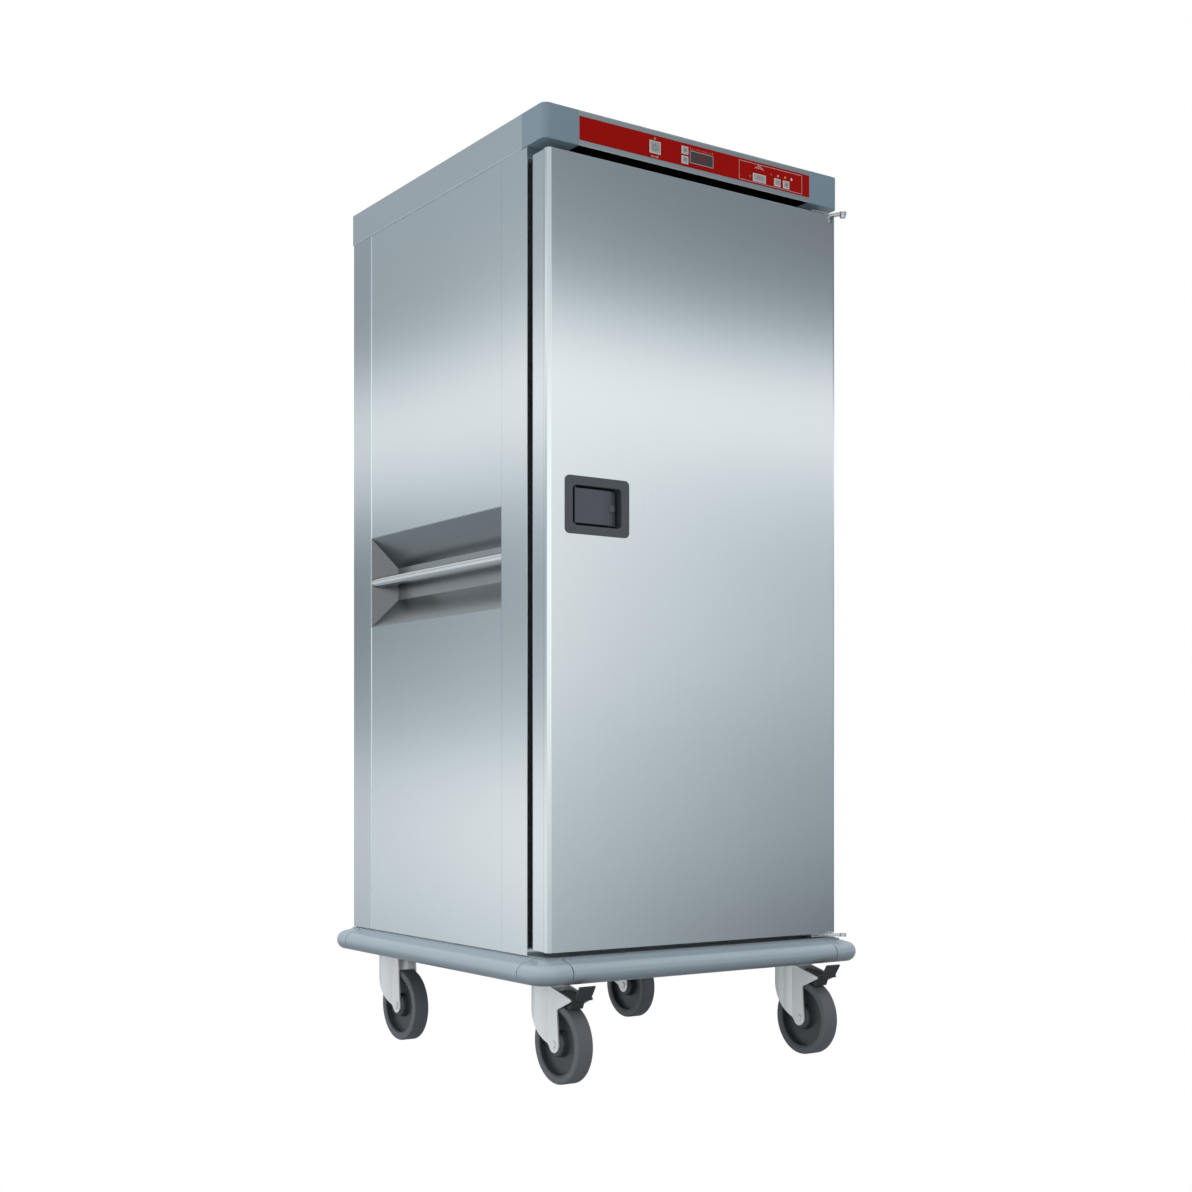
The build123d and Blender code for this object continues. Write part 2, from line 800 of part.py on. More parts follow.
def fan_impeller():
    top = impeller_top()
    bottom = top - impeller_height
    disc = rod_z(0, fan_y, top - impeller_blade_thickness, top, impeller_radius)
    ring = rod_z(0, fan_y, bottom, bottom + impeller_blade_thickness, impeller_radius) - rod_z(
        0, fan_y, bottom - overrun, bottom + overrun, impeller_radius - impeller_blade)
    hub = rod_z(0, fan_y, bottom + impeller_height / 2, top, impeller_hub_radius)
    shaft = rod_z(0, fan_y, bottom + impeller_height / 2, motor_floor() + motor_height / 2, fan_shaft_radius)
    wheel = disc + ring + hub + shaft
    for count in range(impeller_blades):
        blade = block(impeller_radius - impeller_blade, impeller_radius - impeller_blade_thickness,
                      -impeller_blade_thickness / 2, impeller_blade_thickness / 2, bottom, top)
        wheel = wheel + Pos(0, fan_y, 0) * Rot(0, 0, count * 360 / impeller_blades) * blade
    return wheel


def fan_motor():
    z0 = motor_floor()
    z1 = z0 + motor_height
    can = rod_z(0, fan_y, z0 + sheet, z1, motor_radius)
    can = fillet(can.edges().group_by(Axis.Z)[-1], motor_radius / 8)
    ear = motor_radius + shaft_hole_radius
    flange = block(-ear, ear, fan_y - motor_radius / 2, fan_y + motor_radius / 2, z0, z0 + sheet)
    bore = rod_z(0, fan_y, z0 - overrun, z0 + motor_height / 2 + overrun, fan_shaft_radius + shaft_clearance)
    return can + flange - bore


def heater_coil():
    top = opening_top - impeller_drop - coil_pitch / 2
    coil = None
    for turn in range(coil_turns):
        ring = Pos(0, fan_y, top - turn * coil_pitch) * Torus(coil_radius, coil_tube_radius)
        coil = ring if coil is None else coil + ring
    low = top - (coil_turns - 1) * coil_pitch - 2 * coil_tube_radius
    hanger = block(coil_radius - hanger_half_width, coil_radius + hanger_half_width, -sheet, sheet,
                   low, opening_top)
    for count in range(coil_hangers):
        coil = coil + Pos(0, fan_y, 0) * Rot(0, 0, count * 360 / coil_hangers) * hanger
    return coil


# Cap, fascia and controls

def top_cover():
    x = side_x + cap_lip
    y1 = back_y + cap_lip
    y_wrap = front_y + corner_wrap
    top = block(-x, x, y_wrap, y1, cap_top - sheet, cap_top)
    tongue = block(-corner_inner, corner_inner, cap_front_y, y_wrap, cap_top - sheet, cap_top)
    right = block(side_x, x, y_wrap, y1, body_top, cap_top)
    rear = block(-x, x, back_y, y1, body_top, cap_top) - inlet_body(0)
    return top + tongue + right + flip_x(right) + rear


def fascia_corner():
    x = side_x + cap_lip
    outer = block(corner_inner, x, cap_front_y, front_y + corner_wrap, body_top, cap_top)
    edge = outer.edges().filter_by(Axis.Z).sort_by(lambda e: e.center().X - e.center().Y)[-1]
    outer = fillet(edge, corner_radius)
    back = front_y + corner_wrap + overrun
    inner = block(corner_inner - overrun, x - corner_wall, cap_front_y + corner_wall, back,
                  body_top + corner_wall, cap_top - corner_wall)
    inner_edge = inner.edges().filter_by(Axis.Z).sort_by(lambda e: e.center().X - e.center().Y)[-1]
    inner = fillet(inner_edge, corner_radius - corner_wall)
    body = block(corner_inner - overrun, side_x, front_y, back, body_top - overrun, body_top + corner_wall)
    return outer - inner - body


def control_cuts(proud):
    """Every hole that a control needs through the fascia and the label."""
    cuts = []
    for name in key_shares:
        cuts.append(control_block(key_shares[name], key_size_shares[name], key_gap, proud, board_back))
    cuts.append(control_block(display_share, display_size_share, 0, proud, board_back))
    for shares in lamp_shares:
        cuts.append(lamp_rod(shares, proud))
    return cuts


def on_label(shares):
    """X and Z of a place on the label."""
    return shares[0] * label_half_width, body_top + label_rise + shares[1] * label_height


def control_block(shares, size_shares, grow, proud, depth):
    x, z = on_label(shares)
    half_x = size_shares[0] * label_half_width / 2 + grow
    half_z = size_shares[1] * label_height / 2 + grow
    return block(x - half_x, x + half_x, cap_front_y - proud, cap_front_y + depth, z - half_z, z + half_z)


def lamp_rod(shares, proud):
    x, z = on_label(shares)
    return rod_y(x, cap_front_y - proud, cap_front_y + lamp_depth, z, lamp_radius)


def fascia_plate():
    plate = block(-corner_inner, corner_inner, cap_front_y, cap_front_y + sheet, body_top, cap_top - sheet)
    for cut in control_cuts(overrun):
        plate = plate - cut
    return plate


def control_label():
    label = block(-label_half_width, label_half_width, cap_front_y - label_thickness, cap_front_y,
                  body_top + label_rise, body_top + label_rise + label_height)
    for cut in control_cuts(overrun):
        label = label - cut
    return label


def key(name):
    cap = control_block(key_shares[name], key_size_shares[name], 0, label_thickness + key_proud, key_depth)
    return chamfer(cap.faces().sort_by(Axis.Y)[0].edges(), key_proud / 3)


def display():
    return control_block(display_share, display_size_share, 0, label_thickness + display_proud, display_depth)


def indicator_lamps():
    return [lamp_rod(shares, label_thickness + lamp_proud) for shares in lamp_shares]


def control_board():
    front = cap_front_y + board_back
    z0 = body_top + board_margin
    z1 = cap_top - sheet - board_margin
    board_left, board_right = [share * label_half_width for share in board_shares]
    board = block(board_left, board_right, front, front + board_thickness, z0, z1)
    for shares in key_shares.values():
        x, z = on_label(shares)
        board = board + rod_y(x, cap_front_y + key_depth + key_travel + key_gap, front, z, switch_radius)
    for x in (board_left + board_margin, board_right - board_margin):
        for z in (z0 + board_margin, z1 - board_margin):
            board = board + rod_y(x, cap_front_y + sheet, front, z, standoff_radius)
    return board


def inlet_body(grow):
    z = (body_top + cap_top) / 2
    half_x = inlet_mouth_width / 2 + inlet_wall
    half_z = inlet_mouth_height / 2 + inlet_wall
    return block(inlet_x - half_x - grow, inlet_x + half_x + grow, back_y - inlet_mouth_depth - inlet_wall,
                 back_y + cap_lip + grow, z - half_z - grow, z + half_z + grow)


def power_inlet():
    z = (body_top + cap_top) / 2
    face_y = back_y + cap_lip + inlet_flange
    flange = rounded_block_y(inlet_x - inlet_width / 2, inlet_x + inlet_width / 2, back_y + cap_lip, face_y,
                             z - inlet_height / 2, z + inlet_height / 2, inlet_flange)
    floor_y = back_y - inlet_mouth_depth
    mouth = block(inlet_x - inlet_mouth_width / 2, inlet_x + inlet_mouth_width / 2, floor_y,
                  face_y + overrun, z - inlet_mouth_height / 2, z + inlet_mouth_height / 2)
    body = inlet_body(0) + flange - mouth
    for step in (-1, 0, 1):
        x = inlet_x + step * inlet_pin_spacing
        body = body + block(x - inlet_pin_thickness / 2, x + inlet_pin_thickness / 2, floor_y,
                            back_y - inlet_wall, z - inlet_pin / 2, z + inlet_pin / 2)
    return body


# Door

def door_skin():
    outer = block(-door_x, door_x, door_face_y, door_seam_y, door_bottom, door_top)
    front_edges = outer.edges().filter_by(Axis.Z).group_by(Axis.Y)[0]
    outer = fillet(front_edges, door_edge_radius)
    inner = block(-door_x + sheet, door_x - sheet, door_face_y + sheet, door_seam_y + overrun,
                  door_bottom + sheet, door_top - sheet)
    inner_edges = inner.edges().filter_by(Axis.Z).group_by(Axis.Y)[0]
    inner = fillet(inner_edges, door_edge_radius - sheet)
    return outer - inner - well_block(well_wall, 0)


def door_inner_pan():
    x = door_x - door_step
    z0 = door_bottom + door_step
    z1 = door_top - door_step
    outer = block(-x, x, door_seam_y, door_back_y, z0, z1)
    inner = block(-x + sheet, x - sheet, door_seam_y - overrun, door_back_y - sheet, z0 + sheet, z1 - sheet)
    return outer - inner - neck_block()


def door_insulation():
    x = door_x - door_step - sheet
    z0 = door_bottom + door_step + sheet
    z1 = door_top - door_step - sheet
    pad = block(-x, x, door_face_y + sheet, door_back_y - sheet, z0, z1)
    front_edges = pad.edges().filter_by(Axis.Z).group_by(Axis.Y)[0]
    pad = fillet(front_edges, door_edge_radius - sheet)
    return pad - well_block(well_wall, 0) - neck_block()


def door_gasket():
    x = door_x - gasket_margin
    z0 = door_bottom + gasket_margin
    z1 = door_top - gasket_margin
    outer = block(-x, x, door_back_y, front_y - gasket_gap, z0, z1)
    inner = block(-x + gasket_width, x - gasket_width, door_back_y - overrun, front_y + overrun,
                  z0 + gasket_width, z1 - gasket_width)
    return outer - inner


def hinge_arm(eye_z0, eye_z1, hole_radius):
    """A flat plate between the door and the body that runs out to the eye round the hinge pin."""
    eye_y = front_y - hinge_forward
    x1 = door_x - hinge_eye_radius
    y0 = door_face_y + base_inset + liner_sheet
    plate = block(x1 - hinge_foot_width, x1, y0, front_y, eye_z0, eye_z1)
    reach = prism_z(outline([(x1 - hinge_eye_radius, y0), (x1, y0 + hinge_eye_radius),
                             (hinge_x + hinge_eye_radius, eye_y),
                             (hinge_x - hinge_eye_radius, eye_y)]), eye_z0, eye_z1)
    eye = rod_z(hinge_x, eye_y, eye_z0, eye_z1, hinge_eye_radius)
    return plate + reach + eye - rod_z(hinge_x, eye_y, eye_z0 - overrun, eye_z1 + overrun, hole_radius)


def hinge_foot(y0, y1, z0, z1):
    x1 = door_x - hinge_eye_radius
    return block(x1 - hinge_foot_width, x1, y0, y1, z0, z1)


def lower_door_plate_z():
    return door_bottom - hinge_gap - hinge_plate


def upper_door_plate_z():
    return door_top + hinge_plate


def door_hinge_arms():
    """Both are fixed to the door's skin: the lower one under a packer, the upper one flat on its top."""
    hole_radius = hinge_pin_radius + shaft_clearance
    low = lower_door_plate_z()
    lower = hinge_arm(low, low + hinge_plate, hole_radius)
    lower = lower + hinge_foot(door_seam_y - hinge_packer_depth, door_seam_y, low, door_bottom)
    lower = lower - block(-door_x, door_x, door_back_y, front_y + overrun, low, door_bottom)
    upper = hinge_arm(door_top, upper_door_plate_z(), hole_radius)
    upper = upper - block(-door_x, door_x, door_back_y, front_y + overrun, door_top, upper_door_plate_z())
    return [lower, upper]


def hinge_brackets():
    low_top = lower_door_plate_z() - hinge_gap
    lower = hinge_arm(low_top - hinge_plate, low_top, hinge_pin_radius)
    lower = lower + hinge_foot(front_y - hinge_foot_depth, front_y, base_top, low_top)
    up = upper_door_plate_z() + hinge_gap
    upper = hinge_arm(up, up + hinge_plate, hinge_pin_radius)
    upper = upper + hinge_foot(front_y - hinge_foot_depth, front_y, up, body_top)
    return [lower, upper]


def hinge_pins():
    eye_y = front_y - hinge_forward
    low = lower_door_plate_z()
    low_head = low + hinge_plate + hinge_washer_gap
    lower = rod_z(hinge_x, eye_y, low - hinge_gap - hinge_plate, low_head, hinge_pin_radius)
    lower = lower + rod_z(hinge_x, eye_y, low - hinge_gap, low - hinge_washer_gap, hinge_head_radius)
    lower = lower + rod_z(hinge_x, eye_y, low_head, low_head + hinge_head, hinge_head_radius)
    up_head = upper_door_plate_z() + hinge_gap + hinge_plate
    barrel_top = door_top - hinge_washer_gap
    upper = rod_z(hinge_x, eye_y, barrel_top, up_head + hinge_head, hinge_pin_radius)
    upper = upper + rod_z(hinge_x, eye_y, up_head, up_head + hinge_head, hinge_head_radius)
    upper = upper + rod_z(hinge_x, eye_y, barrel_top - hinge_barrel, barrel_top, hinge_head_radius)
    return [lower, upper]


# Latch

def well_block(grow, forward):
    """The finger well, grown by its wall for the hole that it needs in the door."""
    return block(well_x0 - grow, well_x1 + grow, door_face_y - forward, door_face_y + well_depth + grow,
                 well_z0 - grow, well_z1 + grow)


def neck_block():
    x = (well_x0 + well_x1) / 2
    z = (well_z0 + well_z1) / 2
    return block(x - neck_width / 2, x + neck_width / 2, door_face_y + well_depth, door_back_y,
                 z - neck_height / 2, z + neck_height / 2)


def case_block():
    x0 = -opening_x + bolt_short_of_liner + bolt_travel
    x1 = x0 + bolt_length + bolt_slide_gap + case_wall
    z0 = bolt_z0() - case_wall
    z1 = bolt_z0() + bolt_height + case_wall
    y1 = front_y + bolt_behind_front + bolt_depth + case_wall / 2
    return block(x0, x1, door_back_y, y1, z0, z1)


def bolt_block(gap, extra):
    x0 = -opening_x + bolt_short_of_liner
    y0 = front_y + bolt_behind_front
    return block(x0 - extra, x0 + bolt_length + extra, y0 - gap, y0 + bolt_depth + gap, bolt_z0() - gap,
                 bolt_z0() + bolt_height + gap)


def latch_housing():
    plate = rounded_block_y(latch_x0, latch_x0 + latch_width, door_face_y - latch_plate, door_face_y,
                            latch_bottom, latch_bottom + latch_height, latch_corner)
    cup = plate + well_block(well_wall, 0)
    mouth = rounded_block_y(well_x0, well_x1, door_face_y - latch_plate - overrun, door_face_y + well_depth,
                            well_z0, well_z1, well_corner)
    channel = bolt_block(bolt_slide_gap, bolt_travel + bolt_slide_gap)
    return cup - mouth + neck_block() + case_block() - channel + paddle_pin()


def paddle_axis():
    x = well_x0 + paddle_hinge_gap + paddle_pivot_radius
    y = door_face_y + paddle_recess + paddle_thickness + paddle_pivot_radius
    return x, y


def paddle_pin():
    x, y = paddle_axis()
    return rod_z(x, y, well_z0, well_z1, paddle_pivot_radius)


def latch_paddle():
    x, y = paddle_axis()
    x0 = well_x0 + paddle_hinge_gap
    bend_x = x0 + paddle_flat
    end_x = well_x1 - paddle_end_gap
    y0 = door_face_y + paddle_recess
    y1 = y0 + paddle_thickness
    mid_x = (bend_x + end_x) / 2
    sag = paddle_dip / 4
    front_tip = (end_x, y0 + paddle_dip)
    back_tip = (end_x - paddle_thickness, y0 + paddle_dip + paddle_thickness / 2)
    front_arc = ThreePointArc((bend_x, y0), (mid_x, y0 + sag), front_tip)
    back_arc = ThreePointArc(back_tip, (mid_x - paddle_thickness / 3, y1 + sag), (bend_x, y1))
    straight = Polyline((bend_x, y1), (x0, y1), (x0, y0), (bend_x, y0))
    wire = straight + front_arc + Line(front_tip, back_tip) + back_arc
    blade = prism_z(wire, well_z0 + paddle_gap, well_z1 - paddle_gap)
    knuckle = block(x0, x + 2 * paddle_pivot_radius, y1, y, well_z0 + paddle_gap, well_z1 - paddle_gap)
    knuckle = knuckle + rod_z(x, y, well_z0 + paddle_gap, well_z1 - paddle_gap, 2 * paddle_pivot_radius)
    trim = block(well_x0, x0, door_face_y, door_face_y + well_depth, well_z0, well_z1)
    bore = rod_z(x, y, well_z0, well_z1, paddle_pivot_radius + shaft_clearance)
    return blade + knuckle - trim - bore - button_rod(button_clearance, overrun)


def button_rod(grow, extra):
    y0 = door_face_y + paddle_recess + paddle_thickness / 2
    y1 = min(y0 + button_length, door_face_y + well_depth - button_travel - paddle_thickness / 2)
    x = well_x0 + button_from_well
    return rod_y(x, y0 - extra, y1 + extra, (well_z0 + well_z1) / 2, button_radius + grow)


def latch_button():
    rod = button_rod(0, 0)
    return chamfer(rod.edges().group_by(Axis.Y)[0], button_radius / 8)


def latch_bolt():
    bolt = bolt_block(0, 0)
    nose = bolt.edges().filter_by(Axis.Z).group_by(Axis.X)[0].sort_by(Axis.Y)[-1]
    return chamfer(nose, bolt_depth / 2)


def latch_keeper():
    y0 = front_y + bolt_behind_front
    pocket = block(-opening_x - keeper_depth, -opening_x + overrun, y0 - keeper_wall / 2,
                   y0 + bolt_depth + case_wall, bolt_z0() - keeper_wall,
                   bolt_z0() + bolt_height + keeper_wall)
    return keeper_block(0) - pocket


def place_caster(shapes, x, swivel_y):
    return [Pos(x, swivel_y - trail, 0) * shape for shape in shapes]


def main():
    os.makedirs("parts", exist_ok=True)
    save("base_frame", base_frame())
    save("bumper_rails", *bumper_rails())
    save("bumper_corners", *bumper_corners())
    save("caster_plates", *[caster_plate(x, y) for x, y in caster_places()])
    bolt_places = [place for x, y in caster_places() for place in plate_bolt_places(x, y)]
    save("caster_bolts", *[caster_bolt(x, y) for x, y in bolt_places])
    names = ("front_left", "front_right", "rear_left", "rear_right")
    for name, (x, swivel_y) in zip(names, caster_places()):
        braked = name.startswith("front")
        save("fork_" + name, *place_caster(fork(braked), x, swivel_y))
        save("tyre_" + name, *place_caster([tyre()], x, swivel_y))
        save("wheel_hub_" + name, *place_caster([wheel_hub()], x, swivel_y))
        if braked:
            save("brake_pedal_" + name, *place_caster([brake_pedal()], x, swivel_y))
    save("corner_posts", *corner_posts())
    save("side_panels", *side_panels())
    save("handle_pockets", handle_pocket(), flip_x(handle_pocket()))
    save("handle_bars", handle_bar(), flip_x(handle_bar()))
    save("rear_panel", rear_panel())
    save("front_frame", front_frame())
    save("inner_liner", *inner_liner())
    save("insulation", *insulation())
    save("service_deck", service_deck())
    save("runner_racks", *runner_racks())
    save("water_tray", water_tray())
    save("air_baffle", air_baffle())
    save("fan_impeller", fan_impeller())
    save("fan_motor", fan_motor())
    save("heater_coil", heater_coil())
    save("top_cover", top_cover())
    save("fascia_corners", fascia_corner(), flip_x(fascia_corner()))
    save("fascia_plate", fascia_plate())
    save("control_label", control_label())
    for name in key_shares:
        save(name, key(name))
    save("display", display())
    save("indicator_lamps", *indicator_lamps())
    save("control_board", control_board())
    save("power_inlet", power_inlet())
    save("door_skin", door_skin())
    save("door_inner_pan", door_inner_pan())
    save("door_insulation", door_insulation())
    save("door_gasket", door_gasket())
    save("door_hinge_arms", *door_hinge_arms())
    save("hinge_brackets", *hinge_brackets())
    save("hinge_pins", *hinge_pins())
    save("latch_housing", latch_housing())
    save("latch_paddle", latch_paddle())
    save("latch_button", latch_button())
    save("latch_bolt", latch_bolt())
    save("latch_keeper", latch_keeper())


main()
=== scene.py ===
import json
import math

import bmesh
import bpy
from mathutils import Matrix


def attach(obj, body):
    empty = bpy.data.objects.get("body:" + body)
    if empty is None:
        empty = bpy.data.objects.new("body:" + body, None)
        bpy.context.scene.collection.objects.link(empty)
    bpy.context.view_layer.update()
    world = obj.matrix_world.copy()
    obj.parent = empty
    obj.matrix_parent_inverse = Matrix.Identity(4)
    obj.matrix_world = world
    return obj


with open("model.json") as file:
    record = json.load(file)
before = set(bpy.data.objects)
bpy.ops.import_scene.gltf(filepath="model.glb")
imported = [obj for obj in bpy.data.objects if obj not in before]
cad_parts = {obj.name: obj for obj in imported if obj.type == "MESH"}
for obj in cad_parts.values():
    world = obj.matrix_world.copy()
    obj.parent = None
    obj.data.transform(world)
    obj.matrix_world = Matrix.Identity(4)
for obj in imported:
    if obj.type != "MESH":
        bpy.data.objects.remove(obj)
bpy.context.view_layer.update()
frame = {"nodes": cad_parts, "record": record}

# The heated banquet cart, in metres. X is right seen from the door side, Y is towards the back, Z is up.

NODES = frame["nodes"]
MM = 0.001

# Camera, fitted to the photograph's vanishing points
CAMERA_PLACE = (-2.01409, -2.97395, 0.58572)
CAMERA_TURN = -34.326
CAMERA_LENS = 50.915
CAMERA_SENSOR = 36.0
CAMERA_SHIFT = 0.14447

STEEL_TINT = (0.60, 0.635, 0.655)

# The room that metal reflects, as (sine of the height angle, brightness): soft boxes above the horizon with flags
# over them. The first two stand in front of the cart, the third at its left, and the last two behind it.
ROOM_GAIN = 2.0
COOL = (0.88, 1.0, 1.08)
WARM = (1.0, 1.03, 1.03)
DOOR_LEFT_ROOM = (
    (-1.0, 0.40), (-0.30, 0.55), (-0.12, 0.70), (-0.085, 0.79), (-0.06, 0.86), (-0.02, 0.98), (0.03, 1.10),
    (0.055, 1.17), (0.12, 1.22), (0.17, 1.26), (0.195, 1.30), (0.215, 1.36), (0.228, 1.26), (0.240, 1.10),
    (0.250, 0.84), (0.260, 0.64), (0.275, 0.49), (0.32, 0.36), (0.42, 0.45), (0.60, 1.0), (1.0, 1.4))
DOOR_RIGHT_ROOM = (
    (-1.0, 0.25), (-0.30, 0.20), (-0.12, 0.20), (-0.095, 0.24), (-0.07, 0.34), (-0.045, 0.42), (0.005, 0.49),
    (0.03, 0.56), (0.055, 0.63), (0.08, 0.68), (0.127, 0.72), (0.155, 0.80), (0.175, 0.93), (0.190, 1.09),
    (0.205, 1.20), (0.222, 1.22), (0.235, 1.12), (0.247, 0.84), (0.262, 0.52), (0.278, 0.36), (0.30, 0.26),
    (0.34, 0.24), (0.42, 0.35), (0.60, 0.9), (1.0, 1.3))
LEFT_ROOM = (
    (-1.0, 0.5), (-0.30, 0.6), (-0.10, 0.8), (-0.05, 1.0), (0.0, 1.2), (0.06, 1.4), (0.12, 1.5), (0.20, 1.45),
    (0.24, 1.25), (0.27, 1.0), (0.32, 0.85), (0.42, 0.8), (0.60, 1.1), (1.0, 1.4))
SIDE_FRONT_ROOM = (
    (-1.0, 0.6), (-0.30, 0.7), (-0.12, 0.9), (-0.09, 1.03), (-0.06, 1.16), (-0.035, 1.20), (-0.012, 1.17),
    (0.003, 1.08), (0.018, 0.93), (0.032, 0.82), (0.053, 0.71), (0.085, 0.62), (0.11, 0.64), (0.13, 0.73),
    (0.15, 0.92), (0.168, 1.11), (0.185, 1.22), (0.205, 1.26), (0.220, 1.18), (0.235, 1.00), (0.249, 0.81),
    (0.265, 0.69), (0.30, 0.60), (0.34, 0.55), (0.42, 0.6), (0.60, 1.0), (1.0, 1.4))
SIDE_REAR_ROOM = (
    (-1.0, 0.4), (-0.30, 0.45), (-0.12, 0.58), (-0.09, 0.70), (-0.065, 0.77), (-0.03, 0.80), (-0.012, 0.76),
    (0.005, 0.67), (0.024, 0.55), (0.05, 0.44), (0.085, 0.34), (0.105, 0.31), (0.125, 0.36), (0.142, 0.46),
    (0.160, 0.70), (0.178, 0.92), (0.195, 1.06), (0.208, 1.12), (0.222, 1.00), (0.236, 0.78), (0.248, 0.54),
    (0.262, 0.41), (0.285, 0.43), (0.32, 0.51), (0.42, 0.6), (0.60, 0.9), (1.0, 1.3))

# Where those soft boxes lie in the reflected room, by the X of the direction seen in the metal
DOOR_ENDS_X = (0.50, 0.68)
SIDE_ENDS_X = (-0.54, -0.405)
LEFT_ROOM_X = (0.42, 0.25)
FRONT_TO_BACK_Y = (-0.30, 0.30)
# How the boxes lean: (X from, X to, scale of the height there, and there)
FRONT_LEAN = (0.45, 0.75, 0.863, 1.148)
BACK_LEAN = (-0.60, -0.35, 0.775, 1.208)

# Light on matt surfaces: its strength from the left, from the right, at the horizon and its gain towards the top
FILL_LEFT = 0.98
FILL_RIGHT = 0.35
FILL_HORIZON = 0.34
FILL_RISE = 0.25

FLOOR_SIZE = 30.0
FLOOR_COLOUR = (0.8, 0.8, 0.8, 1)
WHITE = (1, 1, 1, 1)


# Camera, floor and light

def make_camera():
    data = bpy.data.cameras.new("camera")
    data.lens = CAMERA_LENS
    data.sensor_width = CAMERA_SENSOR
    data.shift_y = CAMERA_SHIFT
    data.clip_end = 100.0
    camera = bpy.data.objects.new("camera", data)
    camera.location = CAMERA_PLACE
    camera.rotation_euler = (math.radians(90), 0, math.radians(CAMERA_TURN))
    bpy.context.scene.collection.objects.link(camera)
    bpy.context.scene.camera = camera


def make_floor():
    """White to the camera, and a pale matt surface that throws light back up at the cart."""
    reach = FLOOR_SIZE
    mesh = bpy.data.meshes.new("studio_floor")
    corners = [(-reach, -reach, 0), (reach, -reach, 0), (reach, reach, 0), (-reach, reach, 0)]
    mesh.from_pydata(corners, [], [(0, 1, 2, 3)])
    floor = bpy.data.objects.new("studio_floor", mesh)
    bpy.context.scene.collection.objects.link(floor)
    paint = Paint("studio_floor")
    paint.set("Base Color", FLOOR_COLOUR)
    paint.set("Roughness", 0.9)
    glow = paint.node("Emission")
    mix = paint.node("MixShader")
    paint.link(paint.node("LightPath").outputs["Is Camera Ray"], mix.inputs[0])
    paint.link(paint.shader.outputs[0], mix.inputs[1])
    paint.link(glow.outputs[0], mix.inputs[2])
    paint.link(mix.outputs[0], paint.tree.nodes["Material Output"].inputs["Surface"])
    mesh.materials.append(paint.material)
    floor.visible_glossy = False


class Graph:
    """A node tree and short names for the nodes that are added to it."""

    def __init__(self, tree):
        self.tree = tree

    def node(self, kind, **values):
        node = self.tree.nodes.new("ShaderNode" + kind)
        for key, value in values.items():
            setattr(node, key, value)
        return node

    def link(self, output, socket):
        self.tree.links.new(output, socket)

    def feed(self, value, socket):
        """Gives a socket an output, a colour or a number."""
        if isinstance(value, bpy.types.NodeSocket):
            self.link(value, socket)
        elif isinstance(value, tuple):
            socket.default_value = (*value, 1)
        else:
            socket.default_value = value

    def math(self, operation, one, two=0.0):
        node = self.node("Math", operation=operation)
        self.feed(one, node.inputs[0])
        self.feed(two, node.inputs[1])
        return node.outputs[0]

    def spread(self, value, low, high, to_low=0.0, to_high=1.0, interpolation="LINEAR"):
        node = self.node("MapRange", interpolation_type=interpolation)
        self.feed(value, node.inputs["Value"])
        for name, number in (("From Min", low), ("From Max", high), ("To Min", to_low), ("To Max", to_high)):
            node.inputs[name].default_value = number
        return node.outputs[0]

    def ramp(self, source, stops, interpolation="LINEAR"):
        """Colours or plain values along a source, as (place, value or colour) pairs."""
        ramp = self.node("ValToRGB")
        ramp.color_ramp.interpolation = interpolation
        elements = ramp.color_ramp.elements
        for index, (at, value) in enumerate(stops):
            element = elements[index] if index < 2 else elements.new(at)
            element.position = at
            colour = value if isinstance(value, tuple) else (value, value, value)
            element.color = (*colour, 1)
        self.link(source, ramp.inputs[0])
        return ramp.outputs["Color"]

    def blend(self, factor, one, two, kind="MIX"):
        """One colour over another: each is a socket or a colour."""
        mix = self.node("Mix", data_type="RGBA", blend_type=kind)
        self.feed(factor, mix.inputs[0])
        self.feed(one, mix.inputs[6])
        self.feed(two, mix.inputs[7])
        return mix.outputs[2]


def room_ramp(graph, height, stops):
    """The room's colour by height: cooler where it is dim."""
    coloured = []
    for sine, value in stops:
        share = min(max((value - 0.45) / 0.75, 0.0), 1.0)
        colour = tuple(value / ROOM_GAIN * (cool + share * (warm - cool)) for cool, warm in zip(COOL, WARM))
        coloured.append(((sine + 1) / 2, colour))
    return graph.ramp(graph.spread(height, -1.0, 1.0), coloured)


